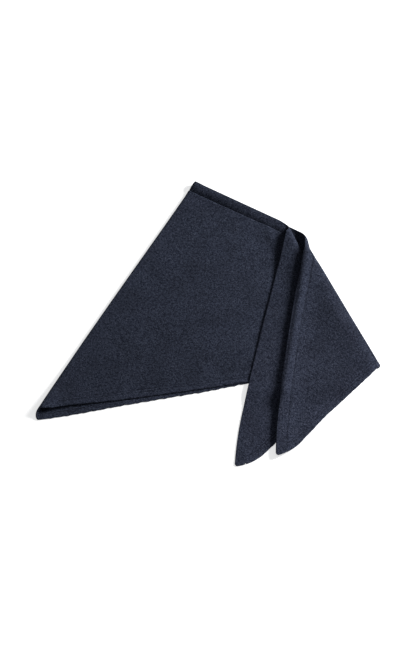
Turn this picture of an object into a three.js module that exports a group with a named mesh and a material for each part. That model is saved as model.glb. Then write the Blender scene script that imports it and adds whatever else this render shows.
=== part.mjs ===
// A triangular knitted scarf, laid flat: folded in half on its centre line, with both tails folded
// over to the front. From the surface up lie the back half, the front half, the front tail and the
// back tail. A hem band edges the whole long side of the triangle.
//
// Millimetres, +Z up. The scarf rests on z = 0, with the middle of its outline at the origin. The
// centre fold runs down the left side, the long edge along the top and the points towards -Y.
//
// The cloth is laid out on the plan as rungs, which run from the long edge to the slanted edge of
// the triangle. A stretch is a list of rungs, and its panel and its hem band are walls through them.

import * as THREE from 'three';

const { lerp, smoothstep, degToRad } = THREE.MathUtils;

// The cloth and its cut
const CLOTH = 2.4;             // thickness of the knitted cloth
const GAP = 0.3;               // clearance between layers and at joins
const SEAM = 0.9;              // the same where a loop of cloth starts, on its middle surface
const LAYER = CLOTH + GAP;     // what each layer below adds to the height
const FLOOR_LEVEL = CLOTH / 2; // middle of the cloth where it lies on the surface
const DEPTH = 528;             // from the long edge to the centre point
const HALF_LENGTH = 675;       // from the centre to a tail's sharp corner, along the long edge
const TIP_SWEEP = 38;          // radius on which the slanted edge turns square to the long edge
const TIP_CORNER = 6;          // radius of the corner that is left at the end of the long edge
const BEND_LENGTH = 110;       // end of each tail that bends towards its slanted side
const HEM_WIDTH = 17.5;        // band along the long edge
const HEM_CURL = 4.0;          // rise of the band's free edge where its face side is up

// The lie of the folded scarf, headings in degrees from +X
const CORNER = new THREE.Vector2(-24.04, 277.29); // where the centre fold meets the long edge
const LONG_HEADING = -27.9;    // long edge of both halves, away from the corner
const FOLD_HEADING = -120.4;   // centre fold, from the corner to the centre point

// How a tail settles over what lies below it
const FRONT_OVERHANG = 12;     // the front tail stays level this far past an edge below
const BACK_OVERHANG = 20;      // and the back tail this far
const DRAPE = 38;              // past that they come down over this distance

// The open loop of cloth along the centre fold
const FOLD_LOOP = [
  { along: 0, loft: 1.6, reach: 3.5 },
  { along: 80, loft: 1.0, reach: 3.2 },
  { along: 380, loft: 1.0, reach: 3.2 },
  { along: 470, loft: 2.5, reach: 4.2 },
  { along: 527, loft: 7.0, reach: 7.5 },
];
const FOLD_SETTLE = 26;        // distance in which the front half comes down from the fold
const POINT_LOFT = 6;          // extra rise of the front half at the centre point
const POINT_SETTLE = 190;      // and the distance over which it comes down

// How far each half's slanted edge lies out from the straight line between its corners
const FRONT_SLANT = [
  { along: 0, out: -12 },
  { along: 50, out: -15 },
  { along: 130, out: -12 },
  { along: 260, out: -8.5 },
  { along: 360, out: -8 },
];
const BACK_SLANT = [
  { along: 0, out: 3 },
  { along: 35, out: 4.7 },
  { along: 90, out: 3 },
  { along: 140, out: 0 },
  { along: 250, out: -3 },
  { along: 360, out: -7 },
  { along: 560, out: 0 },
];

// Each tail's crease: where it starts on the long edge, how it runs, and the loop of cloth there
const FRONT_CREASE = {
  start: 176.7,
  heading: -66,
  tailStart: 4,
  tailHeading: -101.6,
  tailSlantHeading: 43.4,
  tipBend: 8,
  settle: 60,
  loop: [
    { along: -20, loft: 7.5, reach: 7 },
    { along: 30, loft: 8.5, reach: 7 },
    { along: 90, loft: 2.6, reach: 5 },
    { along: 180, loft: 0.8, reach: 3.5 },
    { along: 330, loft: 0.4, reach: 3 },
  ],
};
const BACK_CREASE = {
  start: 196.1,
  heading: -62.5,
  tailStart: 35.5,
  tailHeading: -98.1,
  tailSlantHeading: 46.4,
  tipBend: 5,
  settle: 80,
  loop: [
    { along: -30, loft: 10, reach: 13 },
    { along: 40, loft: 9, reach: 12 },
    { along: 100, loft: 5.5, reach: 8 },
    { along: 180, loft: 2.6, reach: 5 },
    { along: 310, loft: 0.6, reach: 3 },
  ],
};

// Rise of the back tail's long edge off the front tail, away from its crease
const BACK_TAIL_EDGE = [
  { along: 0, rise: 3.5 },
  { along: 90, rise: 4.5 },
  { along: 200, rise: 2.2 },
  { along: 260, rise: 2.4 },
  { along: 330, rise: 4.5 },
  { along: 410, rise: 2.5 },
  { along: 460, rise: 0 },
];
const EDGE_SETTLE = 45;        // distance in which it comes down to the panel

// Sections through the cloth
const LOOP_RUNGS = 7;
const HALF_RUNGS = 12;
const TAIL_RUNGS = 22;
const TIP_RUNGS = 5;
const CORNER_RUNGS = 2;
const HEM_STEPS = 2;
const PANEL_STEPS = 14;

const NAVY = new THREE.Color().setRGB(0.026, 0.030, 0.046);
const HEM_NAVY = new THREE.Color().setRGB(0.028, 0.032, 0.049);

const direction = (degrees) => new THREE.Vector2(
  Math.cos(degToRad(degrees)),
  Math.sin(degToRad(degrees)),
);

// A straight line on the plan, with what lies to its left counted as inside
function line(start, degrees) {
  const along = direction(degrees);
  const left = new THREE.Vector2(-along.y, along.x);
  return {
    heading: degrees,
    point: (distance, inward = 0) => start.clone()
      .addScaledVector(along, distance)
      .addScaledVector(left, inward),
    along: (place) => place.clone().sub(start).dot(along),
    inside: (place) => place.clone().sub(start).dot(left),
  };
}

function crossing(first, second) {
  const origin = first.point(0);
  const closing = second.inside(origin) - second.inside(first.point(1));
  return first.point(second.inside(origin) / closing);
}

// Value of a table's column at a distance, straight between its rows
function column(table, name, distance) {
  const next = table.findIndex((row) => row.along > distance);
  if (next === 0) return table[0][name];
  if (next < 0) return table[table.length - 1][name];
  const [low, high] = [table[next - 1], table[next]];
  return lerp(low[name], high[name], (distance - low.along) / (high.along - low.along));
}

// 1 at no distance, falling smoothly to 0 at the distance given
const fade = (distance, reach) => 1 - smoothstep(Math.abs(distance), 0, reach);

// 1 over a layer below, 0 where the cloth has come down past its edge
const drape = (inside, overhang) => smoothstep(inside, -overhang - DRAPE, -overhang);

// The lines of the folded scarf
const longEdge = line(CORNER, LONG_HEADING + 180);
const centreFold = line(CORNER, FOLD_HEADING);
const centrePoint = centreFold.point(DEPTH);
const sharpCorner = longEdge.point(-HALF_LENGTH);
const slantHeading = THREE.MathUtils.radToDeg(
  Math.atan2(sharpCorner.y - centrePoint.y, sharpCorner.x - centrePoint.x),
);
const slantedEdge = line(centrePoint, slantHeading);

// A crease's own lines: the crease, and the long and slanted edges of the tail past it
function creaseLines({ start, heading, tailStart, tailHeading, tailSlantHeading }) {
  const crease = line(longEdge.point(-start), heading + 180);
  const end = crossing(crease, slantedEdge);
  return {
    crease,
    length: -crease.along(end),
    tailLong: line(crease.point(-tailStart), tailHeading),
    tailSlant: line(end, tailSlantHeading),
  };
}
const front = { ...FRONT_CREASE, ...creaseLines(FRONT_CREASE) };
const back = { ...BACK_CREASE, ...creaseLines(BACK_CREASE) };

// How far inside each layer's outline a place lies
const insideBackHalf = (place) => slantedEdge.inside(place);
const insideFrontHalf = (place) => Math.min(
  slantedEdge.inside(place) + column(FRONT_SLANT, 'out', slantedEdge.along(place)),
  front.crease.inside(place),
);
const insideFrontTail = (place) => Math.min(
  front.tailLong.inside(place),
  front.tailSlant.inside(place),
  front.crease.inside(place),
);

// Rise of a free hem edge whose face side is up
function hemCurl(fromEdge) {
  const share = Math.max(0, 1 - Math.abs(fromEdge) / HEM_WIDTH);
  return HEM_CURL * share ** 2;
}

function creaseLoft(half, place) {
  const loft = column(half.loop, 'loft', -half.crease.along(place));
  return loft * fade(half.crease.inside(place), half.settle);
}

// Heights of the middle of the cloth, over a place on the plan
const backHalfHeight = () => FLOOR_LEVEL;

function frontHalfHeight(place) {
  const loft = column(FOLD_LOOP, 'loft', centreFold.along(place));
  const fromPoint = place.distanceTo(centrePoint);
  return FLOOR_LEVEL + LAYER
    + loft * fade(centreFold.inside(place), FOLD_SETTLE)
    + POINT_LOFT * Math.max(0, 1 - fromPoint / POINT_SETTLE) ** 2
    + hemCurl(longEdge.inside(place));
}

function frontTailHeight(place) {
  const below = [insideBackHalf(place), insideFrontHalf(place)]
    .reduce((sum, inside) => sum + drape(inside, FRONT_OVERHANG), 0);
  return FLOOR_LEVEL + LAYER * below + creaseLoft(front, place);
}

function backTailHeight(place) {
  const below = [insideBackHalf(place), insideFrontHalf(place), insideFrontTail(place)]
    .reduce((sum, inside) => sum + drape(inside, BACK_OVERHANG), 0);
  const fromEdge = back.tailLong.inside(place);
  const rise = column(BACK_TAIL_EDGE, 'rise', back.tailLong.along(place));
  return FLOOR_LEVEL + LAYER * below
    + creaseLoft(back, place)
    + rise * fade(fromEdge, EDGE_SETTLE)
    + hemCurl(fromEdge) * drape(insideBackHalf(place), BACK_OVERHANG);
}

const raised = (place, height) => new THREE.Vector3(place.x, place.y, height);

// Places on the inner side of a loop, where the flat cloth starts: share 0 on the long edge, 1 on
// the slanted edge
function foldBase(share, gap = 0) {
  const along = share * DEPTH;
  return centreFold.point(along, column(FOLD_LOOP, 'reach', along) + gap);
}

function creaseBase(half, from, share, gap = 0) {
  const along = lerp(from, half.length, share);
  return half.crease.point(-along, column(half.loop, 'reach', along) + gap);
}

// Where the long edge leaves the flat cloth of a half, and where it is back on the tail's
function loopEnds(half) {
  const { reach } = half.loop[0];
  const meet = Math.tan(degToRad(LONG_HEADING - half.heading));
  const leave = Math.tan(degToRad(half.heading - half.tailHeading));
  return { onHalf: -reach / meet, onTail: half.tailStart + reach / leave };
}

// The loop along the centre fold, from the back half's level to the front half's
function foldRungs() {
  return Array.from({ length: LOOP_RUNGS }, (_, index) => {
    const turn = Math.PI * index / LOOP_RUNGS;
    return {
      depth: DEPTH,
      at: (share) => {
        const along = share * DEPTH;
        const inward = column(FOLD_LOOP, 'reach', along) * (1 - Math.sin(turn));
        const top = frontHalfHeight(foldBase(share));
        const climb = (1 - Math.cos(turn)) / 2;
        return raised(centreFold.point(along, inward), lerp(FLOOR_LEVEL, top, climb));
      },
    };
  });
}

// The flat cloth of a half, from the centre fold to its crease
function halfRungs(half, height, slantTable, foldGap) {
  const { onHalf } = loopEnds(half);
  return Array.from({ length: HALF_RUNGS + 1 }, (_, index) => {
    const across = index / HALF_RUNGS;
    const plan = (share) => foldBase(share, foldGap)
      .lerp(creaseBase(half, onHalf, share, SEAM), across);
    const depth = longEdge.inside(plan(1));
    const out = column(slantTable, 'out', slantedEdge.along(plan(1)));
    return {
      depth: depth + out,
      at: (share) => {
        const place = plan(share * (1 + out / depth));
        return raised(place, height(place));
      },
    };
  });
}

// The loop of cloth along a crease, from its half's level to its tail's
function creaseRungs(half, halfHeight, tailHeight) {
  const { onHalf, onTail } = loopEnds(half);
  const rise = Math.sin(degToRad(LONG_HEADING - half.heading));
  return Array.from({ length: LOOP_RUNGS + 1 }, (_, index) => {
    const turned = index / LOOP_RUNGS;
    const turn = Math.PI * turned;
    const from = lerp(onHalf, onTail, turned);
    return {
      depth: (half.length - from) * rise,
      at: (share) => {
        const along = lerp(from, half.length, share);
        const reach = column(half.loop, 'reach', along);
        const base = half.crease.point(-along, reach);
        const climb = (1 - Math.cos(turn)) / 2;
        const place = half.crease.point(-along, reach * (1 - Math.sin(turn)));
        return raised(place, lerp(halfHeight(base), tailHeight(base), climb));
      },
    };
  });
}

// Ends of the rungs round a tail's tip, where the slanted edge turns square to the long edge
function tipEnds(half) {
  const corner = crossing(half.tailLong, half.tailSlant);
  const cornerAngle = degToRad(half.tailHeading - half.tailSlantHeading + 180);
  const centre = half.tailLong.along(corner) - TIP_SWEEP / Math.sin(cornerAngle);
  const cornerCentre = centre + TIP_SWEEP - TIP_CORNER;
  const onArc = (radius, inward, along, turn) => half.tailLong.point(
    along + radius * Math.sin(turn),
    inward + radius * Math.cos(turn),
  );
  const onSweep = (turn) => onArc(TIP_SWEEP, 0, centre, turn);
  const onCorner = (turn) => onArc(TIP_CORNER, TIP_CORNER, cornerCentre, turn);
  const lastTurn = Math.acos(TIP_CORNER / TIP_SWEEP);

  const ends = [];
  for (let index = 0; index <= TIP_RUNGS; index += 1) {
    const share = index / TIP_RUNGS;
    ends.push([
      half.tailLong.point(lerp(centre, cornerCentre, share)),
      onSweep(lerp(cornerAngle, lastTurn, share)),
    ]);
  }
  for (let index = 1; index <= CORNER_RUNGS; index += 1) {
    const turn = Math.PI / 4 * 0.9 * index / CORNER_RUNGS;
    ends.push([onCorner(Math.PI - turn), onCorner(Math.PI / 2 + turn)]);
  }
  return ends;
}

// A tail, from its crease to its rounded tip
function tailRungs(half, height) {
  const { onTail } = loopEnds(half);
  const start = [creaseBase(half, onTail, 0), creaseBase(half, onTail, 1)];
  const tip = tipEnds(half);
  const bendStart = half.tailLong.along(tip[tip.length - 1][0]) - BEND_LENGTH;
  const sideways = direction(half.tailHeading + 90);
  const bent = (place) => {
    const past = Math.max(0, half.tailLong.along(place) - bendStart) / BEND_LENGTH;
    return place.addScaledVector(sideways, half.tipBend * past ** 2);
  };
  const ends = [];
  for (let index = 1; index < TAIL_RUNGS; index += 1) {
    const share = index / TAIL_RUNGS;
    ends.push(start.map((place, side) => place.clone().lerp(tip[0][side], share)));
  }
  return [...ends, ...tip].map(([long, slant]) => {
    const length = long.distanceTo(slant);
    return {
      depth: length < HEM_WIDTH ? length : half.tailLong.inside(slant),
      at: (share) => {
        const place = bent(long.clone().lerp(slant, share));
        return raised(place, height(place));
      },
    };
  });
}

// A closed wall of cloth through places on its middle surface: a row of shares for each rung
function wallGeometry(rungs, shares) {
  const rows = rungs.length;
  const columns = shares[0].length;
  const faceUp = [];
  const faceDown = [];
  rungs.forEach(({ depth, at }, row) => {
    const before = Math.max(row - 1, 0);
    const after = Math.min(row + 1, rows - 1);
    shares[row].forEach((share, step) => {
      const across = rungs[after].at(shares[after][step])
        .sub(rungs[before].at(shares[before][step]));
      const along = at(share + CLOTH / depth).sub(at(share - CLOTH / depth));
      const offset = across.cross(along).setLength(CLOTH / 2);
      faceUp.push(...at(share).add(offset).toArray());
      faceDown.push(...at(share).sub(offset).toArray());
    });
  });
  const count = rows * columns;
  const faces = [];
  for (let row = 0; row < rows - 1; row += 1) {
    for (let step = 0; step < columns - 1; step += 1) {
      const a = row * columns + step;
      const b = a + columns;
      faces.push(a, b, b + 1, a, b + 1, a + 1);
      faces.push(count + a, count + b + 1, count + b, count + a, count + a + 1, count + b + 1);
    }
  }
  const rim = [];
  for (let row = 0; row < rows - 1; row += 1) rim.push(row * columns);
  for (let step = 0; step < columns - 1; step += 1) rim.push((rows - 1) * columns + step);
  for (let row = rows - 1; row > 0; row -= 1) rim.push(row * columns + columns - 1);
  for (let step = columns - 1; step > 0; step -= 1) rim.push(step);
  // Both sides of a seam are split along the same diagonals, so that they stay parallel
  rim.forEach((near, index) => {
    const next = rim[(index + 1) % rim.length];
    const [low, high] = index < rim.length / 2 ? [count + near, next] : [near, count + next];
    faces.push(near, count + near, high, next, low, count + next);
  });
  const geometry = new THREE.BufferGeometry();
  const positions = [...faceUp, ...faceDown];
  geometry.setAttribute('position', new THREE.Float32BufferAttribute(positions, 3));
  geometry.setIndex(faces);
  geometry.computeVertexNormals();
  return geometry;
}

// The wall through part of each rung, between two distances from the long edge
function stretch(name, rungs, fromDepth, toDepth, steps, colour) {
  const shares = rungs.map(({ depth }) => Array.from({ length: steps + 1 }, (_, index) => {
    const distance = lerp(fromDepth, Math.min(toDepth, depth), index / steps);
    return distance / depth;
  }));
  const material = new THREE.MeshStandardMaterial({ color: colour, roughness: 0.95, metalness: 0 });
  const mesh = new THREE.Mesh(wallGeometry(rungs, shares), material);
  mesh.name = name;
  return mesh;
}

function panel(name, rungs) {
  const wide = rungs.filter(({ depth }) => depth > HEM_WIDTH + CLOTH);
  return stretch(name, wide, HEM_WIDTH + GAP / 2, Infinity, PANEL_STEPS, NAVY);
}

const hem = (name, rungs) => stretch(name, rungs, 0, HEM_WIDTH - GAP / 2, HEM_STEPS, HEM_NAVY);

const scarf = new THREE.Group();
const backHalf = halfRungs(back, backHalfHeight, BACK_SLANT, SEAM);
const frontHalf = [...foldRungs(), ...halfRungs(front, frontHalfHeight, FRONT_SLANT, 0)];
const frontTail = [
  ...creaseRungs(front, frontHalfHeight, frontTailHeight),
  ...tailRungs(front, frontTailHeight),
];
const backTail = [
  ...creaseRungs(back, backHalfHeight, backTailHeight),
  ...tailRungs(back, backTailHeight),
];

scarf.add(
  panel('back_half', backHalf),
  panel('front_half', frontHalf),
  panel('front_tail', frontTail),
  panel('back_tail', backTail),
  hem('back_hem', backHalf),
  hem('front_hem', frontHalf),
  hem('front_tail_hem', frontTail),
  hem('back_tail_hem', backTail),
);

export default scarf;
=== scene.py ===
# A triangular knitted scarf, laid flat on a pale table top: folded in half on its centre line, with
# both tails folded over to the front. From the table up lie the back half, the front half, the front
# tail and the back tail. A hem band edges the whole long side of the triangle.
#
# Metres, +Z up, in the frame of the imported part. Each stretch of cloth is worked out on the plan as
# rungs, which run from the long edge to the slanted edge of the triangle, and a place on the plan is
# a complex number. A piece is a grid of rungs, given its two sides and its rounded rims.

import math

import bmesh
import bpy
import numpy as np
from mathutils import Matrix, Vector


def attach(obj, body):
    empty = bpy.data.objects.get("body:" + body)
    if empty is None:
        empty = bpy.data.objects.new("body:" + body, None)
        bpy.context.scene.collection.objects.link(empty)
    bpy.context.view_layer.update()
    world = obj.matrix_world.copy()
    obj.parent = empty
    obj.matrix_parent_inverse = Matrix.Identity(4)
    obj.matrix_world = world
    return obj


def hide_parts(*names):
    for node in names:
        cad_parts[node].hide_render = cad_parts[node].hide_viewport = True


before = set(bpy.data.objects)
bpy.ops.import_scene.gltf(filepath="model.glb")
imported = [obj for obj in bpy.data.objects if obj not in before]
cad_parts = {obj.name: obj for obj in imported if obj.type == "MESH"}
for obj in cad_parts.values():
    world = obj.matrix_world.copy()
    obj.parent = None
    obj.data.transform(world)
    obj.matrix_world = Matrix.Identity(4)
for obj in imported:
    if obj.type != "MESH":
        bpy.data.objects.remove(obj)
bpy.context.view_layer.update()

# The cloth and its cut
CLOTH = 0.0024               # thickness of the knitted cloth
GAP = 0.0003                 # clearance between layers
LAYER = CLOTH + GAP          # what each layer below adds to the height
FLOOR_LEVEL = CLOTH / 2      # middle of the cloth where it lies on the table
DEPTH = 0.528                # from the long edge to the centre point
HALF_LENGTH = 0.675          # from the centre to a tail's sharp corner, along the long edge
TIP_CORNER = 0.004           # radius of the corner at the end of each tail's long edge
TIP_LEAN = 0.022             # how far the rungs lean towards the tip where its rounding starts
BEND_LENGTH = 0.110          # end of each tail that bends towards its slanted side
HEM_WIDTH = 0.0175           # band along the long edge

# The lie of the folded scarf, headings in degrees from +X
CORNER = complex(-0.02404, 0.27729)  # where the centre fold meets the long edge
LONG_HEADING = -27.9         # long edge of both halves, away from the corner
FOLD_HEADING = -120.4        # centre fold, from the corner to the centre point

# How a tail settles over what lies below it
FRONT_OVERHANG = 0.012       # the front tail stays level this far past an edge below
BACK_OVERHANG = 0.020        # and the back tail this far
DRAPE = 0.038                # past that they come down over this distance

# The open loop of cloth along the centre fold; bow is how far it lies out from the straight fold
FOLD_LOOP = {
    "along": (0, 0.080, 0.150, 0.220, 0.290, 0.380, 0.470, 0.527),
    "loft": (0.0016, 0.0010, 0.0010, 0.0010, 0.0010, 0.0010, 0.0025, 0.0075),
    "reach": (0.0035, 0.0032, 0.0032, 0.0032, 0.0032, 0.0032, 0.0042, 0.0075),
    "bow": (-0.0025, -0.0020, -0.0010, 0, 0.0008, 0.0014, 0.0004, -0.0015),
}
FOLD_SETTLE = 0.026          # distance in which the front half comes down from the fold
POINT_LOFT = 0.007           # extra rise of the front half at the centre point
POINT_SETTLE = 0.160         # and the distance over which it comes down
ROLL_WIDTH = 0.022           # distance over which a tail rolls up from its crease

# How far each half's slanted edge lies out from the straight line between its corners
FRONT_SLANT = {
    "along": (0, 0.050, 0.090, 0.130, 0.195, 0.260, 0.304, 0.360, 0.430),
    "out": (-0.0140, -0.0165, -0.0145, -0.0122, -0.0100, -0.0085, -0.0080, -0.0080, 0),
}
BACK_SLANT = {
    "along": (0, 0.012, 0.050, 0.090, 0.140, 0.250, 0.290, 0.320, 0.360, 0.560),
    "out": (0.003, 0.0046, 0.0047, 0.003, 0, -0.003, -0.0033, -0.0052, -0.0068, 0),
}

# Rise of the back tail's long edge off the front tail, away from its crease
BACK_TAIL_EDGE = {
    "along": (0, 0.090, 0.200, 0.260, 0.330, 0.410, 0.460),
    "rise": (0.0030, 0.0042, 0.0034, 0.0040, 0.0068, 0.0050, 0.0005),
}
EDGE_SETTLE = 0.045          # distance in which it comes down to the panel

# How a free hem edge curls where its face side is up. It is highest at the crest, at a distance from
# the edge, and falls by a share of its rise to the edge; soft is how smoothly it meets the seam.
FRONT_CURL = {
    "along": (0, 0.060, 0.120, 0.180),
    "rise": (0.0066, 0.0058, 0.0050, 0.0044),
}
FRONT_ROLL = {"crest": 0.0045, "fall": 0.12, "soft": 0}
BACK_CURL = 0.0045
BACK_ROLL = {"crest": 0.005, "fall": 0.50, "soft": 1}

# Uneven small waves of the slanted edge, along it from the centre fold
FRONT_RIPPLE = {
    "along": (0, 0.030, 0.500),
    "size": (0, 0.0005, 0.0003),
}
BACK_RIPPLE = {
    "along": (0, 0.030, 0.440, 0.500),
    "size": (0, 0.0009, 0.0009, 0.0002),
}
RIPPLE_LENGTH = 0.015
RIPPLE_FULL = 0.070          # rungs shorter than this have smaller waves
WAVE_SHARES = (0.55, 0.30, 0.35)  # heights of the three sines in a wave
WAVE_LENGTHS = (1.0, 0.62, 1.9)   # and their lengths, as shares of its length

# Details of the knitting
RIM = CLOTH / 2              # rounding of a free edge
THINNEST = 0.05              # share of the thickness that is left at the very edge
SEAM_ROUND = 0.0013          # rounding of the cloth into the hem's seam on its face side
FRONT_SEAM = 0.0012          # depth of the seam there, on the front and the back stretch
BACK_SEAM = 0.0002
REVERSE_ROUND = 0.0006       # rounding and depth of the seam on the reverse side
REVERSE_SEAM = 0.00012
SEAM_RIDGE = 0.0006          # swell of the panel beside the hem's seam, on its face side
RIDGE_TOP = 0.0026           # distance of its top from the seam
EDGE_BORDER = 0.020          # finished border along the slanted edge
EDGE_LINES = (0.0092, 0.0137)  # linking rows in it, from the edge
LINE_WIDTH = 0.0010
LINE_SINK = 0.00055
RIM_MOST = 0.4               # most of a short rung that a rim's rounding may take
SEAM_MOST = 0.3              # and most of it that the seam's rounding may take
RIDGE_FULL = 0.020           # panel rungs shorter than this have a lower ridge
RIDGE_FACING = (-0.3, 0.5)   # upward part of the face's normal over which the ridge comes in
LEAST_PANEL = 0.0012         # a rung has a panel where it passes the band by this much
LEAST_LAID = 0.0010          # and its panel's stations are laid over at least this length
LEAST_SLANT = 0.2            # least sine taken for the angle of a rung and the slanted edge
SHARP_ANGLE = 40             # degrees between faces, past which shading keeps an edge

# Rungs and stations
FOLD_ROWS = 16
HALF_ROWS = 180
CREASE_ROWS = 22
TAIL_ROWS = 190
SWEEP_ROWS = 24
CORNER_ROWS = 12
CORNER_EVEN = 0.72           # share of a tip's corner with evenly spaced rungs
CORNER_CLOSE = 0.25          # and share at its end with rungs close together
CORNER_CLOSED = 0.96         # how far round the corner the last rung lies
PANEL_STEPS = 120
BORDER_STEPS = 24
RIDGE_ZONE = 0.010           # start of the panel, with the seam's ridge
RIDGE_STEPS = 8
HEM_STEPS = 9
RIM_STEPS = 5
ZONES_MOST = 0.8             # most of a rung that the zones at its ends may take
EASE = 0.010                 # a table's value is eased this far to each side
EASE_STEPS = 5               # over this many places
NO_LENGTH = 1e-12            # keeps a vector of no length from dividing by zero

# The yarn's colours by slot, each linear red, green, blue and alpha
YARNS = {
    "knit": {
        "dark": (0.0045, 0.0065, 0.0143, 1),
        "light": (0.0268, 0.0325, 0.0525, 1),
        "fleck": (0.105, 0.118, 0.168, 1),
    },
    # hem_knit is knit with its light yarn and flecks a little darker: painted shade on the hem band
    "hem_knit": {
        "dark": (0.0045, 0.0065, 0.0143, 1),
        "light": (0.0263, 0.0319, 0.0515, 1),
        "fleck": (0.103, 0.116, 0.165, 1),
    },
}

# Its mottling: the scale of each noise is in cells a metre, and tone is 1 in the plain cloth
BLEND_SCALE = 325            # dark and light yarn
FIBRE_SCALE = 1100           # pale fibres
CLOUD_SCALE = 20             # slow changes of tone
STREAK_SCALE = (520, 90, 1)  # streaks along the wales, across and along them
WEAR_SCALE = 11              # how strongly the linking rows show
FLECK_SHARE = 0.75
CLOUD_TONE = (0.88, 1.12)
STREAK_TONE = 0.05
ENDS_PAINTED_LIGHT = 0.22             # painted light: the cloth is drawn paler towards the two ends of the triangle, where it is lit more brightly
ENDS_LIGHT_SPAN = (0.36, 0.58)     # over these distances from the centre
WARM_PAINTED_LIGHT = 0.035            # and its red a little stronger there: a painted warm tint of the light
WARM_LIGHT_SPAN = (0.20, 0.50)
BORDER_TONE = 0.16           # the finished border is paler too
BORDER_SPAN = (0.0140, 0.0200)  # and fades into the panel here
LINE_TONE = (0.2, 0.5)       # how much darker a linking row is, least and most
LINE_SPAN = (0.0003, 0.0015)  # fading out over these distances from its middle

# Its relief
WALE_WIDTH = 0.0019          # width and height of a stitch
COURSE_HEIGHT = 0.0015
STITCH_SHARE = 0.10
BLEND_SHARE = 1.1
FIBRE_SHARE = 0.55
RELIEF_DEPTH = 0.0011
RELIEF_STRENGTH = 0.85


def lerp(low, high, share):
    return low + (high - low) * share


def smoothstep(value, low, high):
    share = np.clip((value - low) / (high - low), 0, 1)
    return share * share * (3 - 2 * share)


def fade(distance, reach):
    """1 at no distance, falling smoothly to 0 at the distance given."""
    return 1 - smoothstep(np.abs(distance), 0, reach)


def drape(inside, overhang):
    """1 over a layer below, 0 where the cloth has come down past its edge."""
    return smoothstep(inside, -overhang - DRAPE, -overhang)


def column(table, name, distance):
    """Value of a table's column at a distance, eased round its rows."""
    shifts = np.linspace(-EASE, EASE, EASE_STEPS)
    values = (np.interp(distance + shift, table["along"], table[name]) for shift in shifts)
    return sum(values) / EASE_STEPS


def direction(degrees):
    return complex(math.cos(math.radians(degrees)), math.sin(math.radians(degrees)))


class Line:
    """A straight line on the plan, with what lies to its left counted as inside."""

    def __init__(self, start, heading):
        self.start = start
        self.way = direction(heading)

    def point(self, distance, inward=0.0):
        return self.start + (distance + 1j * inward) * self.way

    def along(self, place):
        return ((place - self.start) * self.way.conjugate()).real

    def inside(self, place):
        return ((place - self.start) * self.way.conjugate()).imag


def crossing(first, second):
    origin = first.point(0)
    closing = second.inside(origin) - second.inside(first.point(1))
    return first.point(second.inside(origin) / closing)


LONG_EDGE = Line(CORNER, LONG_HEADING + 180)
CENTRE_FOLD = Line(CORNER, FOLD_HEADING)
CENTRE_POINT = CENTRE_FOLD.point(DEPTH)
SHARP_CORNER = LONG_EDGE.point(-HALF_LENGTH)
SLANT_HEADING = math.degrees(np.angle(SHARP_CORNER - CENTRE_POINT))
SLANTED_EDGE = Line(CENTRE_POINT, SLANT_HEADING)


class Crease:
    """A tail's crease with its loop of cloth, and the long and slanted edges of the tail past it."""

    def __init__(
        self, start, heading, tail_start, tail_heading, tail_edge, slant, tip, settle, lead, loop
    ):
        self.line = Line(LONG_EDGE.point(-start), heading + 180)
        self.end = crossing(self.line, SLANTED_EDGE)
        self.length = -self.line.along(self.end)
        self.tail_long = Line(self.line.point(-tail_start), tail_heading)
        self.tail_edge = tail_edge
        self.slant = slant
        self.tail_slant = Line(self.end, slant["heading"])
        self.tip = tip
        self.settle = settle
        self.lead = lead
        self.loop = loop
        self.start = start
        reach = loop["reach"][0]
        self.on_half = -reach / math.tan(math.radians(LONG_HEADING - heading))
        turn = math.radians(heading - tail_heading)
        self.on_tail = tail_start + reach / math.tan(turn) + tail_edge["in"][0] / math.sin(turn)

        # The slanted edge turns on a wide sweep, centred outside the long edge, into the tip's corner
        radius = tip["radius"]
        turned_to = Line(self.tail_slant.point(0, -slant["shift"]), slant["heading"])
        corner = crossing(self.tail_long, turned_to)
        self.first_turn = math.radians(tail_heading - slant["heading"] + 180)
        self.drop = radius * math.cos(math.radians(tip["turn"]))
        back = (radius - self.drop * math.cos(self.first_turn)) / math.sin(self.first_turn)
        self.sweep = self.tail_long.along(corner) - back
        run = math.sqrt((radius - TIP_CORNER) ** 2 - (TIP_CORNER + self.drop) ** 2)
        self.corner = self.sweep + run
        self.last_turn = math.atan2(run, TIP_CORNER + self.drop)
        self.bend_start = self.corner + TIP_CORNER - BEND_LENGTH
        self.sideways = direction(tail_heading + 90)

    def base(self, start, share):
        """Where the flat cloth starts inside the loop: share 0 on the long edge, 1 on the slant."""
        along = lerp(start, self.length, share)
        return self.line.point(-along, column(self.loop, "reach", along))

    def loft(self, place):
        along, inside = -self.line.along(place), self.line.inside(place)
        share = np.clip(inside / ROLL_WIDTH, 0, 1)
        roll = column(self.loop, "roll", along) * share * (2 - share)
        return (column(self.loop, "loft", along) + roll) * fade(inside, self.settle)

    def tail_point(self, along):
        """A place on the tail's long edge, at a distance along its straight line."""
        return self.tail_long.point(along, column(self.tail_edge, "in", along))

    def bent(self, place):
        past = np.maximum(0, self.tail_long.along(place) - self.bend_start) / BEND_LENGTH
        return place + self.sideways * self.tip["bend"] * past**2

    def on_sweep(self, turn):
        radius = self.tip["radius"]
        along = self.sweep + radius * np.sin(turn)
        return self.tail_long.point(along, radius * np.cos(turn) - self.drop)

    def on_corner(self, turn):
        along = self.corner + TIP_CORNER * np.sin(turn)
        return self.tail_long.point(along, TIP_CORNER * (1 + np.cos(turn)))


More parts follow.
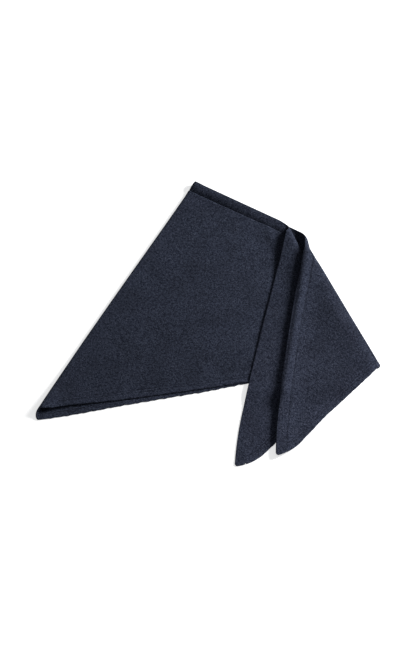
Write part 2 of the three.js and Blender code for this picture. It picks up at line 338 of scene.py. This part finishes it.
# The two creases, measured from the long edge of their half. A loop's columns are loft, how high the
# tail stands over the layers below at the crease; reach, how far inside the crease line the flat cloth
# starts; bow, how far out past that line the loop lies; and roll, the extra rise of the tail beside it.
# settle is the distance in which the loft is gone. A lead above 1 brings the loop's rungs early to
# where the tail starts. A tip's bend is how far its very end lies sideways from the tail's straight run.
FRONT = Crease(
    start=0.1767,
    heading=-66,
    tail_start=0.0013,
    tail_heading=-101.6,
    tail_edge={
        "along": (0.070, 0.095, 0.150, 0.210),
        "in": (0.0034, 0.0024, 0.0015, 0),
    },
    slant={
        "heading": 43.4,
        "shift": 0.0023,
        "along": (0, 0.200),
        "out": (0, 0),
    },
    tip={"radius": 0.092, "turn": 73.7, "bend": 0.0081},
    settle=0.095,
    lead=1.6,
    loop={
        "along": (-0.020, 0.010, 0.032, 0.060, 0.090, 0.180, 0.330),
        "loft": (0.0068, 0.0082, 0.0108, 0.0078, 0.0024, 0.0009, 0.0004),
        "reach": (0.007, 0.007, 0.007, 0.006, 0.005, 0.0035, 0.003),
        "bow": (0, 0, 0, 0, 0, 0, 0),
        "roll": (0, 0, 0, 0, 0, 0, 0),
    },
)
BACK = Crease(
    start=0.1961,
    heading=-62.5,
    tail_start=0.0337,
    tail_heading=-98.1,
    tail_edge={
        "along": (0.050, 0.110, 0.175, 0.234, 0.284, 0.312),
        "in": (0, -0.0030, -0.0034, -0.0025, -0.0015, 0),
    },
    slant={
        "heading": 47.4,
        "shift": -0.0022,
        "along": (
            0, 0.010, 0.022, 0.042, 0.062, 0.080,
            0.112, 0.125, 0.150, 0.162, 0.175, 0.192,
        ),
        "out": (
            0.0016, 0.0030, 0.0036, 0.0025, 0.0010, -0.0002,
            -0.0005, -0.0012, -0.0006, 0.0002, 0.0001, -0.0003,
        ),
    },
    tip={"radius": 0.1135, "turn": 64.5, "bend": 0.0076},
    settle=0.080,
    lead=1.0,
    loop={
        "along": (-0.030, 0.012, 0.025, 0.037, 0.050, 0.075, 0.100, 0.180, 0.310),
        "loft": (0.0112, 0.0106, 0.0102, 0.0094, 0.0080, 0.0058, 0.0044, 0.0022, 0.0004),
        "reach": (0.013, 0.013, 0.0125, 0.0115, 0.0105, 0.009, 0.008, 0.005, 0.0027),
        "bow": (0.0010, 0.0015, 0.0050, 0.0042, -0.0030, 0, 0.0007, 0, 0),
        "roll": (0, 0, 0, 0, 0, 0.0006, 0.0020, 0.0045, 0.0045),
    },
)


def inside_back_half(place):
    return SLANTED_EDGE.inside(place)


def inside_front_half(place):
    out = column(FRONT_SLANT, "out", SLANTED_EDGE.along(place))
    return np.minimum(SLANTED_EDGE.inside(place) + out, FRONT.line.inside(place))


def inside_front_tail(place):
    edges = (FRONT.tail_long, FRONT.tail_slant, FRONT.line)
    return np.minimum.reduce([edge.inside(place) for edge in edges])


# Soft ridges of each layer; whatever lies on a layer follows it
SOFT_RIDGES = {
    "front_half": (
        {"start": complex(-0.030, 0.190), "heading": -62, "length": 0.24, "width": 0.030, "rise": 0.0011},
        {"start": complex(-0.110, 0.060), "heading": -20, "length": 0.20, "width": 0.026, "rise": 0.0008},
        {"start": complex(-0.190, -0.020), "heading": -78, "length": 0.13, "width": 0.022, "rise": 0.0007},
        {"start": complex(-0.050, -0.030), "heading": -100, "length": 0.12, "width": 0.034, "rise": 0.0010},
        {"start": complex(0.050, 0.205), "heading": -34, "length": 0.10, "width": 0.012, "rise": 0.0010},
        {"start": complex(0.092, 0.206), "heading": -68, "length": 0.07, "width": 0.009, "rise": 0.0022},
    ),
    "front_tail": (
        {"start": complex(0.105, 0.110), "heading": -97, "length": 0.17, "width": 0.012, "rise": 0.0007},
        {"start": complex(0.085, -0.090), "heading": -92, "length": 0.13, "width": 0.014, "rise": 0.0008},
    ),
    "back_tail": (
        {"start": complex(0.190, 0.090), "heading": -72, "length": 0.16, "width": 0.018, "rise": 0.0009},
        {"start": complex(0.185, -0.060), "heading": -48, "length": 0.11, "width": 0.020, "rise": 0.0009},
        {"start": complex(0.240, 0.000), "heading": -66, "length": 0.09, "width": 0.012, "rise": 0.0006},
    ),
}


def soft_ridges(place, layer):
    total = 0
    for ridge in SOFT_RIDGES[layer]:
        line = Line(ridge["start"], ridge["heading"])
        share = 2 * line.along(place) / ridge["length"] - 1
        section = np.exp(-((line.inside(place) / ridge["width"]) ** 2))
        total = total + ridge["rise"] * fade(share, 1) * section
    return total


def hem_curl(from_edge, rise, roll):
    """Rise of a free hem edge whose face side is up."""
    inner = np.clip((from_edge - roll["crest"]) / (HEM_WIDTH - roll["crest"]), 0, 1)
    outer = np.clip(1 - from_edge / roll["crest"], 0, 1)
    return rise * (1 - lerp(inner**2, smoothstep(inner, 0, 1), roll["soft"]) - roll["fall"] * outer**2)


# Heights of the middle of the cloth, over a place on the plan
def back_half_height(place):
    return np.full(np.shape(place), FLOOR_LEVEL)


def front_half_height(place):
    loft = column(FOLD_LOOP, "loft", CENTRE_FOLD.along(place))
    curl = column(FRONT_CURL, "rise", -LONG_EDGE.along(place))
    from_point = np.abs(place - CENTRE_POINT)
    return (
        FLOOR_LEVEL
        + LAYER
        + loft * fade(CENTRE_FOLD.inside(place), FOLD_SETTLE)
        + POINT_LOFT * np.maximum(0, 1 - from_point / POINT_SETTLE) ** 2
        + hem_curl(LONG_EDGE.inside(place), curl, FRONT_ROLL)
        + soft_ridges(place, "front_half")
    )


def front_tail_height(place):
    on_front = drape(inside_front_half(place), FRONT_OVERHANG)
    below = on_front + drape(inside_back_half(place), FRONT_OVERHANG)
    return (
        FLOOR_LEVEL
        + LAYER * below
        + FRONT.loft(place)
        + soft_ridges(place, "front_half") * on_front
        + soft_ridges(place, "front_tail")
    )


def back_tail_height(place):
    on_front = drape(inside_front_half(place), BACK_OVERHANG)
    on_tail = drape(inside_front_tail(place), BACK_OVERHANG)
    on_back = drape(inside_back_half(place), BACK_OVERHANG)
    from_edge = BACK.tail_long.inside(place)
    rise = column(BACK_TAIL_EDGE, "rise", BACK.tail_long.along(place))
    return (
        FLOOR_LEVEL
        + LAYER * (on_front + on_tail + on_back)
        + BACK.loft(place)
        + rise * fade(from_edge, EDGE_SETTLE)
        + hem_curl(from_edge, BACK_CURL, BACK_ROLL) * on_back
        + soft_ridges(place, "front_half") * on_front
        + soft_ridges(place, "front_tail") * on_tail
        + soft_ridges(place, "back_tail")
    )


class Rungs:
    """Some rungs of a stretch: across is 0 to 1 over them, and a distance is from the long edge.

    depth gives each rung's whole distance, at the place and height of a point on it, and cut the
    point's place along the long edge of the flat cloth.
    """

    def __init__(self, across, depth, at, cut):
        self.across = across[:, None]
        self.depth = depth
        self.at = at
        self.cut = cut


def climb(across):
    """Share of a loop's height that is reached at a share of the way round it."""
    return (1 - np.cos(np.pi * across)) / 2


def fold_base(share):
    along = share * DEPTH
    inward = column(FOLD_LOOP, "reach", along) - column(FOLD_LOOP, "bow", along)
    return CENTRE_FOLD.point(along, inward)


def rung_depth(end, slant_table):
    """Distance between the long and slanted edges, on a rung that ends at a place on the plan."""
    return LONG_EDGE.inside(end) + column(slant_table, "out", SLANTED_EDGE.along(end))


def fold_rungs():
    """The loop along the centre fold, from the back half's level to the front half's."""
    end = fold_base(1.0)

    def depth(across):
        return lerp(rung_depth(end, BACK_SLANT), rung_depth(end, FRONT_SLANT), climb(across))

    def base(distance):
        return fold_base(distance / LONG_EDGE.inside(end))

    def at(across, distance):
        start = base(distance)
        reach = column(FOLD_LOOP, "reach", CENTRE_FOLD.along(start))
        place = start - 1j * CENTRE_FOLD.way * reach * np.sin(np.pi * across)
        return place, lerp(FLOOR_LEVEL, front_half_height(start), climb(across))

    def cut(across, distance):
        start = base(distance)
        return -LONG_EDGE.along(start) - 2 * CENTRE_FOLD.inside(start) * (1 - across)

    return Rungs(np.linspace(0, 1, FOLD_ROWS, endpoint=False), depth, at, cut)


def half_rungs(crease, height, slant_table):
    """The flat cloth of a half, from the centre fold to its crease."""

    def plan(across, share):
        return lerp(fold_base(share), crease.base(crease.on_half, share), across)

    def depth(across):
        return rung_depth(plan(across, 1.0), slant_table)

    def at(across, distance):
        place = plan(across, distance / LONG_EDGE.inside(plan(across, 1.0)))
        return place, height(place)

    def cut(across, distance):
        return -LONG_EDGE.along(at(across, distance)[0])

    return Rungs(np.linspace(0, 1, HALF_ROWS, endpoint=False), depth, at, cut)


def crease_rungs(crease, half_height, tail_height):
    """The loop of cloth along a crease, from its half's level to its tail's."""

    def depth(across):
        on_half = LONG_EDGE.inside(crease.base(crease.on_half, 1.0))
        on_tail = crease.tail_long.inside(crease.base(crease.on_tail, 1.0)) - crease.tail_edge["in"][0]
        return lerp(on_half, on_tail, across)

    def at(across, distance):
        start = lerp(crease.on_half, crease.on_tail, 1 - (1 - across) ** crease.lead)
        along = lerp(start, crease.length, distance / depth(across))
        reach = column(crease.loop, "reach", along)
        bow = column(crease.loop, "bow", along)
        base = crease.line.point(-along, reach)
        place = crease.line.point(-along, reach - (reach + bow) * np.sin(np.pi * across))
        return place, lerp(half_height(base), tail_height(base), climb(across))

    def cut(across, distance):
        share = distance / depth(across)
        on_half = -LONG_EDGE.along(crease.base(crease.on_half, share))
        on_tail = crease.start + crease.tail_long.along(crease.base(crease.on_tail, share))
        return lerp(on_half, on_tail, across)

    return Rungs(np.linspace(0, 1, CREASE_ROWS, endpoint=False), depth, at, cut)


def tail_part(crease, height, across, ends):
    """Rungs of a tail between two ends each, given for across."""

    def depth(across):
        long, slant = ends(across)
        length = np.abs(slant - long)
        square = crease.tail_long.inside(slant - long + crease.tail_long.start)
        return np.where(length < HEM_WIDTH, length, square)

    def at(across, distance):
        long, slant = ends(across)
        place = crease.bent(lerp(long, slant, distance / depth(across)))
        return place, height(place)

    def cut(across, distance):
        long, slant = ends(across)
        return crease.start + crease.tail_long.along(lerp(long, slant, distance / depth(across)))

    return Rungs(across, depth, at, cut)


def tail_rungs(crease, height):
    """A tail, from its crease over the sweep of its slanted edge to the corner of its tip."""
    sweep_start = crease.on_sweep(crease.first_turn)
    starts = crease.tail_long.along(crease.base(crease.on_tail, 0.0))
    ends = crease.tail_long.along(sweep_start) - TIP_LEAN
    slant_ends = [crease.base(crease.on_tail, 1.0), sweep_start]
    slant_way = (slant_ends[1] - slant_ends[0]) / abs(slant_ends[1] - slant_ends[0])
    half_corner = (math.pi - crease.last_turn) / 2 * CORNER_CLOSED

    def straight(across):
        out = column(crease.slant, "out", across * abs(slant_ends[1] - slant_ends[0]))
        slant = lerp(*slant_ends, across) + 1j * slant_way * out
        return crease.tail_point(lerp(starts, ends, across)), slant

    def sweep(across):
        long = crease.tail_long.point(lerp(ends, crease.corner, across))
        return long, crease.on_sweep(lerp(crease.first_turn, crease.last_turn, across))

    def corner(across):
        turn = half_corner * across
        return crease.on_corner(math.pi - turn), crease.on_corner(crease.last_turn + turn)

    even = np.linspace(0, CORNER_EVEN, CORNER_ROWS)
    last = 1 - CORNER_CLOSE * rim_shares()[::-1]
    return [
        tail_part(crease, height, np.linspace(0, 1, TAIL_ROWS, endpoint=False), straight),
        tail_part(crease, height, np.linspace(0, 1, SWEEP_ROWS, endpoint=False), sweep),
        tail_part(crease, height, np.append(even, last), corner),
    ]


def rim_shares():
    """Shares of a rim's rounding, close together at the very edge."""
    return 1 - np.cos(np.linspace(0, math.pi / 2, RIM_STEPS + 1))


def rounding(share):
    """Share of the cloth's half thickness, at a share of the rounding from the edge."""
    return np.sqrt(np.maximum(THINNEST**2, 1 - (1 - np.clip(share, 0, 1)) ** 2))


def ripple(along, length, seed):
    """Uneven small waves along an edge, from three sines of unlike lengths."""
    phases = np.random.default_rng(seed).uniform(0, 2 * math.pi, 3)
    parts = zip(WAVE_SHARES, WAVE_LENGTHS, phases)
    return sum(
        share * np.sin(2 * math.pi * along / (length * part) + phase) for share, part, phase in parts
    )


def stations(start, end, near, far, middle_steps):
    """Distances on each rung from start to end: rows are rungs, columns are stations.

    near and far list the zones beside each end as (width, steps, shares of the zone); a short rung
    has them narrower.
    """
    whole = end - start
    wanted = sum(width for width, _ in near) + sum(width for width, _ in far)
    scale = np.minimum(1, ZONES_MOST * whole / wanted)
    parts = []
    at = start
    for width, shares in near:
        parts.append(at + width * scale * shares[None, :-1])
        at = at + width * scale
    far_start = end - sum(width for width, _ in far) * scale
    parts.append(lerp(at, far_start, np.linspace(0, 1, middle_steps, endpoint=False)[None, :]))
    at = far_start
    for width, shares in far:
        parts.append(at + width * scale * shares[None, :-1])
        at = at + width * scale
    parts.append(end)
    return np.concatenate(parts, axis=1)


def normals(points):
    """Unit normals of a grid of points."""
    across = np.gradient(points, axis=0, edge_order=2)
    along = np.gradient(points, axis=1)
    normal = np.cross(across, along)
    return normal / np.maximum(np.linalg.norm(normal, axis=2, keepdims=True), NO_LENGTH)


class Stretch:
    """A stretch of the scarf as one grid: on each rung the stations of the band, then the panel's."""

    def __init__(self, sections, face, seam_depth, ripple_table, seed):
        self.sections = sections
        self.seam_depth = seam_depth
        self.face = face  # 1 where the face side is that of the grid's normals, or -1
        self.counts = [len(section.across) for section in sections]
        self.depth = np.concatenate([section.depth(section.across) for section in sections])
        ends, heights, _ = self.lay(self.depth)
        steps = np.hypot(np.abs(np.diff(ends[:, 0])), np.diff(heights[:, 0]))
        edge = np.append(0, np.cumsum(steps))[:, None]
        size = column(ripple_table, "size", edge) * smoothstep(self.depth, HEM_WIDTH, RIPPLE_FULL)
        self.depth = self.depth + size * ripple(edge, RIPPLE_LENGTH, seed)

        rim = rim_shares()
        seam = np.full_like(self.depth, HEM_WIDTH)
        band_end = np.minimum(self.depth, seam)
        band = stations(0 * seam, band_end, [(RIM, rim)], [(SEAM_ROUND, 1 - rim[::-1])], HEM_STEPS)
        near = [(SEAM_ROUND, rim), (RIDGE_ZONE, np.linspace(0, 1, RIDGE_STEPS + 1))]
        far = [(EDGE_BORDER - RIM, np.linspace(0, 1, BORDER_STEPS + 1)), (RIM, 1 - rim[::-1])]
        panel_end = np.maximum(self.depth, seam + LEAST_LAID)
        panel = stations(seam, panel_end, near, far, PANEL_STEPS)
        self.seam = len(band[0]) - 1
        self.distances = np.concatenate([band, panel[:, 1:]], axis=1)
        place, height, cut_along = self.lay(self.distances)
        self.points = np.stack([place.real, place.imag, height], axis=-1)
        self.normals = normals(self.points)
        self.cut = np.stack([cut_along, self.distances], axis=-1)

    def lay(self, distances):
        """Place, height and place in the cut, for distances on each rung."""
        found = []
        first = 0
        for section, count in zip(self.sections, self.counts):
            part = distances[first:first + count]
            place, height = section.at(section.across, part)
            found.append((place, height, section.cut(section.across, part) + 0 * part))
            first += count
        return [np.concatenate(values) for values in zip(*found)]

    def cloth(self, name, rows, columns, face, reverse, from_edge):
        """The cloth of some rows and columns, with thicknesses on its face and reverse sides."""
        sides = (reverse, face) if self.face > 0 else (face, reverse)
        return cloth(
            name,
            self.points[rows, columns],
            self.normals[rows, columns],
            *sides,
            self.cut[rows, columns],
            from_edge,
        )

    def panel(self, name, rows):
        wide = np.flatnonzero(self.depth[rows, 0] > HEM_WIDTH + LEAST_PANEL)
        rows = slice(rows.start, rows.start + wide[-1] + 1)
        columns = slice(self.seam, None)
        points = self.points[rows, columns]
        whole = self.depth[rows] - HEM_WIDTH
        from_edge = distance_from_slant(points)
        from_seam = self.distances[rows, columns] - HEM_WIDTH

        lines = sum(np.exp(-(((from_edge - line) / LINE_WIDTH) ** 2)) for line in EDGE_LINES)
        rim = np.minimum(RIM, RIM_MOST * whole)
        body = CLOTH / 2 * rounding(from_edge / rim) - LINE_SINK * lines
        facing_up = smoothstep(self.face * self.normals[rows, columns, 2], *RIDGE_FACING)
        swell = from_seam / RIDGE_TOP
        ridge = SEAM_RIDGE * facing_up * swell * np.exp(1 - swell) * np.minimum(1, whole / RIDGE_FULL)
        seam_round = np.minimum(SEAM_ROUND, SEAM_MOST * whole)
        face = lerp(CLOTH / 2 - self.seam_depth, body, rounding(from_seam / seam_round)) + ridge
        reverse = body - REVERSE_SEAM * (1 - rounding(from_seam / REVERSE_ROUND))
        return self.cloth(name, rows, columns, face, reverse, from_edge)

    def band(self, name, rows, ends_in_tip):
        columns = slice(0, self.seam + 1)
        points = self.points[rows, columns]
        end = np.minimum(self.depth[rows], HEM_WIDTH)
        joined = self.depth[rows] > HEM_WIDTH
        distances = self.distances[rows, columns]
        to_seam = end - distances

        steps = np.linalg.norm(np.diff(points[:, HEM_STEPS], axis=0), axis=1)
        to_tip = np.append(np.cumsum(steps[::-1])[::-1], 0)[:, None]
        tip = rounding(to_tip / RIM) if ends_in_tip else 1
        rim = np.minimum(RIM, RIM_MOST * end)
        body = CLOTH / 2 * rounding(distances / rim) * tip
        free = body * rounding(to_seam / rim)
        sunk = lerp(CLOTH / 2 - self.seam_depth, body, rounding(to_seam / SEAM_ROUND))
        face = np.where(joined, sunk, free)
        notched = body - REVERSE_SEAM * (1 - rounding(to_seam / REVERSE_ROUND))
        reverse = np.where(joined, notched, free)
        no_border = np.ones(distances.shape)
        return self.cloth(name, rows, columns, face, reverse, no_border)


def new_grid(rows, columns):
    """A slab of rows by columns with two sides and a rim, and where its vertices lie in them."""
    bm = bmesh.new()
    bmesh.ops.create_grid(bm, x_segments=rows - 1, y_segments=columns - 1, size=0.5)
    bmesh.ops.scale(bm, vec=(rows - 1, columns - 1, 1), verts=bm.verts)
    bmesh.ops.solidify(bm, geom=bm.faces[:], thickness=1.0)
    bmesh.ops.recalc_face_normals(bm, faces=bm.faces)
    mesh = bpy.data.meshes.new("slab")
    bm.to_mesh(mesh)
    bm.free()
    places = np.empty(len(mesh.vertices) * 3)
    mesh.vertices.foreach_get("co", places)
    places = places.reshape(-1, 3)
    low = places.min(axis=0)
    row, step, side = np.rint(places - low).astype(int).T
    return mesh, row, step, side


def cloth(name, points, normal, thick_down, thick_up, cut, from_edge):
    """A mesh of cloth about a grid of points, with thicknesses on both sides, none below the table."""
    rows, columns, _ = points.shape
    mesh, row, step, side = new_grid(rows, columns)
    sides = np.stack([points - normal * thick_down[..., None], points + normal * thick_up[..., None]])
    sides[..., 2] = np.maximum(sides[..., 2], 0)
    mesh.vertices.foreach_set("co", sides[side, row, step].ravel())
    mesh.name = name
    mesh.polygons.foreach_set("use_smooth", np.ones(len(mesh.polygons), bool))

    corners = np.empty(len(mesh.loops), int)
    mesh.loops.foreach_get("vertex_index", corners)
    layer = mesh.uv_layers.new(name="cut")
    layer.uv.foreach_set("vector", cut[row, step][corners].ravel())
    attribute = mesh.attributes.new("from_edge", "FLOAT", "POINT")
    attribute.data.foreach_set("value", from_edge[row, step])
    mesh.update()

    bm = bmesh.new()
    bm.from_mesh(mesh)
    if bm.calc_volume(signed=True) < 0:
        bmesh.ops.reverse_faces(bm, faces=bm.faces)
        bm.to_mesh(mesh)
    bm.free()
    mesh.set_sharp_from_angle(angle=math.radians(SHARP_ANGLE))
    piece = bpy.data.objects.new(name, mesh)
    bpy.context.collection.objects.link(piece)
    return piece


def distance_from_slant(points):
    """How far each point of a grid lies from its slanted edge, its last column."""
    rung = points[:, -1:] - points
    length = np.linalg.norm(rung, axis=2)
    edge = np.gradient(points[:, -1], axis=0)
    edge = edge / np.maximum(np.linalg.norm(edge, axis=1, keepdims=True), NO_LENGTH)
    last = rung[:, len(rung[0]) // 2]
    last = last / np.maximum(np.linalg.norm(last, axis=1, keepdims=True), NO_LENGTH)
    square = np.linalg.norm(np.cross(last, edge), axis=1)
    return length * np.maximum(square, LEAST_SLANT)[:, None]


def node(tree, kind, settings=None, **inputs):
    """A new node, with settings by attribute and inputs by socket name, linked or set."""
    made = tree.nodes.new(kind)
    for name, value in (settings or {}).items():
        setattr(made, name, value)
    for name, value in inputs.items():
        socket = made.inputs[int(name[1:])] if name[0] == "_" else made.inputs[name.replace("_", " ")]
        if isinstance(value, bpy.types.NodeSocket):
            tree.links.new(value, socket)
        else:
            socket.default_value = value
    return made


def maths(tree, operation, first, second=0.0, third=0.0):
    made = node(tree, "ShaderNodeMath", {"operation": operation}, _0=first, _1=second, _2=third)
    return made.outputs[0]


def noise(tree, vector, scale, detail, roughness=0.5):
    made = node(
        tree, "ShaderNodeTexNoise", Vector=vector, Scale=scale, Detail=detail, Roughness=roughness
    )
    return made.outputs["Factor"] if "Factor" in made.outputs else made.outputs["Fac"]


def stretched(tree, vector, scale):
    return node(tree, "ShaderNodeMapping", Vector=vector, Scale=scale).outputs["Vector"]


def mixed(tree, factor, first, second, blend="MIX"):
    settings = {"data_type": "RGBA", "blend_type": blend}
    return node(tree, "ShaderNodeMix", settings, _0=factor, _6=first, _7=second).outputs[2]


def ranged(tree, value, span, to, how="SMOOTHSTEP"):
    """The value taken from one span, low and high, to another."""
    settings = {"interpolation_type": how}
    sockets = dict(zip(("_1", "_2", "_3", "_4"), (*span, *to)))
    return node(tree, "ShaderNodeMapRange", settings, _0=value, **sockets).outputs[0]


def felted_wool(name, dark, light, fleck):
    """Fine felted wool of two blended yarns, with its stitches, flecks, streaks and linking rows, and
    painted light: paler and warmer towards the two ends of the triangle.
    """
    material = bpy.data.materials.new(name)
    material.use_nodes = True
    tree = material.node_tree
    tree.nodes.clear()
    place = node(tree, "ShaderNodeTexCoord").outputs["Object"]
    cut = node(tree, "ShaderNodeUVMap", {"uv_map": "cut"}).outputs["UV"]
    along, in_depth, _ = node(tree, "ShaderNodeSeparateXYZ", Vector=cut).outputs
    from_edge = node(tree, "ShaderNodeAttribute", {"attribute_name": "from_edge"}).outputs["Fac"]

    blend = noise(tree, place, BLEND_SCALE, 2.2, 0.6)
    fibres = noise(tree, place, FIBRE_SCALE, 2.0, 0.6)
    streaks = noise(tree, stretched(tree, cut, STREAK_SCALE), 1.0, 1.0)
    clouds = noise(tree, place, CLOUD_SCALE, 3.0, 0.6)
    wear = noise(tree, place, WEAR_SCALE, 1.0)

    shade = ranged(tree, blend, (0.36, 0.66), (0, 1), "LINEAR")
    colour = mixed(tree, shade, dark, light)
    flecks = ranged(tree, fibres, (0.56, 0.70), (0, FLECK_SHARE))
    colour = mixed(tree, flecks, colour, fleck)

    slow = ranged(tree, clouds, (0.3, 0.7), CLOUD_TONE)
    tone = maths(tree, "ADD", slow, ranged(tree, streaks, (0.3, 0.7), (-STREAK_TONE, STREAK_TONE)))
    # Painted light: paler towards the two ends of the triangle, where the scarf is lit more brightly
    tone = maths(tree, "ADD", tone, ranged(tree, along, ENDS_LIGHT_SPAN, (0, ENDS_PAINTED_LIGHT)))
    tone = maths(tree, "ADD", tone, ranged(tree, from_edge, BORDER_SPAN, (BORDER_TONE, 0)))
    depth = ranged(tree, wear, (0.35, 0.6), LINE_TONE)
    for line in EDGE_LINES:
        off = maths(tree, "ABSOLUTE", maths(tree, "SUBTRACT", from_edge, line))
        near = ranged(tree, off, LINE_SPAN, (1, 0))
        tone = maths(tree, "SUBTRACT", tone, maths(tree, "MULTIPLY", near, depth))
    # Painted light: a warm tint of the light towards the ends, making the red a little stronger
    painted_warm_tone = maths(tree, "ADD", tone, ranged(tree, along, WARM_LIGHT_SPAN, (0, WARM_PAINTED_LIGHT)))
    tint = node(tree, "ShaderNodeCombineXYZ", _0=painted_warm_tone, _1=tone, _2=tone).outputs[0]
    colour = mixed(tree, 1.0, colour, tint, "MULTIPLY")

    # Each stitch is a slanted wave, turned over from one side of its wale to the other
    slope = maths(tree, "PINGPONG", maths(tree, "MULTIPLY", along, 1 / WALE_WIDTH), 0.5)
    course = maths(tree, "MULTIPLY_ADD", in_depth, 1 / COURSE_HEIGHT, slope)
    rows = maths(tree, "SINE", maths(tree, "MULTIPLY", course, 2 * math.pi))
    sides = maths(tree, "SINE", maths(tree, "MULTIPLY", slope, 2 * math.pi))
    stitch = maths(tree, "MULTIPLY", rows, sides)
    relief = maths(tree, "MULTIPLY", blend, BLEND_SHARE)
    relief = maths(tree, "MULTIPLY_ADD", stitch, STITCH_SHARE, relief)
    relief = maths(tree, "MULTIPLY_ADD", fibres, FIBRE_SHARE, relief)
    bump = node(
        tree, "ShaderNodeBump", Strength=RELIEF_STRENGTH, Distance=RELIEF_DEPTH, Height=relief
    )

    surface = node(
        tree,
        "ShaderNodeBsdfPrincipled",
        Base_Color=colour,
        Roughness=0.95,
        Sheen_Weight=0.35,
        Sheen_Roughness=0.45,
        Sheen_Tint=(0.16, 0.19, 0.27, 1),
        Specular_IOR_Level=0.12,
        Normal=bump.outputs[0],
    )
    output = node(tree, "ShaderNodeOutputMaterial")
    tree.links.new(surface.outputs[0], output.inputs[0])
    return material


def make_scarf():
    front = Stretch(
        [
            fold_rungs(),
            half_rungs(FRONT, front_half_height, FRONT_SLANT),
            crease_rungs(FRONT, front_half_height, front_tail_height),
            *tail_rungs(FRONT, front_tail_height),
        ],
        face=-1,
        seam_depth=FRONT_SEAM,
        ripple_table=FRONT_RIPPLE,
        seed=3,
    )
    back = Stretch(
        [
            half_rungs(BACK, back_half_height, BACK_SLANT),
            crease_rungs(BACK, back_half_height, back_tail_height),
            *tail_rungs(BACK, back_tail_height),
        ],
        face=1,
        seam_depth=BACK_SEAM,
        ripple_table=BACK_RIPPLE,
        seed=5,
    )
    front_crease = FOLD_ROWS + HALF_ROWS
    knit = felted_wool("felted_knit", **YARNS["knit"])
    hem_knit = felted_wool("hem_knit", **YARNS["hem_knit"])
    for stretch, rows, panel_node, band_node, rests_on in (
        (back, slice(0, HALF_ROWS + 1), "back_half", "back_hem", []),
        (front, slice(0, front_crease + 1), "front_half", "front_hem", ["back_half"]),
        (front, slice(front_crease, len(front.depth)), "front_tail", "front_tail_hem", ["front_half"]),
        (back, slice(HALF_ROWS, len(back.depth)), "back_tail", "back_tail_hem", ["front_tail"]),
    ):
        body = stretch.panel(panel_node + "_cloth", rows)
        band = stretch.band(band_node + "_band", rows, ends_in_tip=rows.start > 0)
        for piece, cad_node, slot, material in (
            (body, panel_node, "knit", knit),
            (band, band_node, "hem_knit", hem_knit),
        ):
            piece.data.materials.append(material)
            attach(piece, "root")
            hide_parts(cad_node)
        for piece, others in ((band, []), (body, [band])):
            flat, area = cut_size(piece)


def cut_size(piece):
    """Width and length of a piece's flat cut, and its area, from its map of the cut."""
    mesh = piece.data
    count = len(mesh.loops)
    cut = np.empty(count * 2)
    mesh.uv_layers["cut"].uv.foreach_get("vector", cut)
    cut = cut.reshape(-1, 2)
    size = cut.max(axis=0) - cut.min(axis=0)
    starts = np.empty(len(mesh.polygons), int)
    mesh.polygons.foreach_get("loop_start", starts)
    a, b, c, d = (cut[starts + corner] for corner in range(4))
    first, second = c - a, d - b
    areas = np.abs(first[:, 0] * second[:, 1] - first[:, 1] * second[:, 0]) / 2
    return (float(size[0]), float(size[1])), float(min(areas.sum() / 2, size[0] * size[1]))


def make_table_top():
    bm = bmesh.new()
    bmesh.ops.create_grid(bm, x_segments=8, y_segments=8, size=30)
    mesh = bpy.data.meshes.new("table_top")
    bm.to_mesh(mesh)
    bm.free()
    floor = bpy.data.objects.new("table_top", mesh)
    bpy.context.collection.objects.link(floor)
    material = bpy.data.materials.new("pale_top")
    material.use_nodes = True
    tree = material.node_tree
    surface = tree.nodes["Principled BSDF"]
    surface.inputs["Base Color"].default_value = (0.86, 0.86, 0.86, 1)
    surface.inputs["Roughness"].default_value = 0.9
    surface.inputs["Specular IOR Level"].default_value = 0.1
    surface.inputs["Emission Color"].default_value = (1, 1, 1, 1)
    surface.inputs["Emission Strength"].default_value = 0.62
    mesh.materials.append(material)


def area_light(name, azimuth, elevation, distance, size, power):
    """A square soft box, azimuth in degrees clockwise from +Y, aimed at the middle of the scarf."""
    data = bpy.data.lights.new(name, "AREA")
    data.shape = "SQUARE"
    data.size = size
    data.energy = power
    lamp = bpy.data.objects.new(name, data)
    a, e = math.radians(azimuth), math.radians(elevation)
    away = Vector((math.sin(a) * math.cos(e), math.cos(a) * math.cos(e), math.sin(e)))
    lamp.location = away * distance
    lamp.rotation_euler = away.to_track_quat("Z", "Y").to_euler()
    bpy.context.collection.objects.link(lamp)


def make_light():
    """One soft key from the right and a little behind, in a dim, even room."""
    area_light("key_box", azimuth=70, elevation=28, distance=1.8, size=0.60, power=51)
    world = bpy.data.worlds.new("studio")
    world.use_nodes = True
    background = world.node_tree.nodes["Background"]
    background.inputs["Color"].default_value = (0.96, 0.98, 1.0, 1)
    background.inputs["Strength"].default_value = 0.21
    bpy.context.scene.world = world


def make_camera():
    """The camera looks along +Y, down at 59.5 degrees, from far off with a very long lens."""
    elevation = math.radians(59.5)
    distance = 30.0
    seen_height = 1.0899
    target = Vector((0.0003, 0.0027, 0))
    data = bpy.data.cameras.new("camera")
    data.sensor_width = 36
    data.lens = data.sensor_width * distance / seen_height
    data.clip_end = 100
    camera = bpy.data.objects.new("camera", data)
    camera.location = target + distance * Vector((0, -math.cos(elevation), math.sin(elevation)))
    camera.rotation_euler = (math.pi / 2 - elevation, 0, 0)
    bpy.context.collection.objects.link(camera)
    bpy.context.scene.camera = camera


make_scarf()
make_table_top()
make_light()
make_camera()
bpy.context.scene.view_settings.view_transform = "Standard"
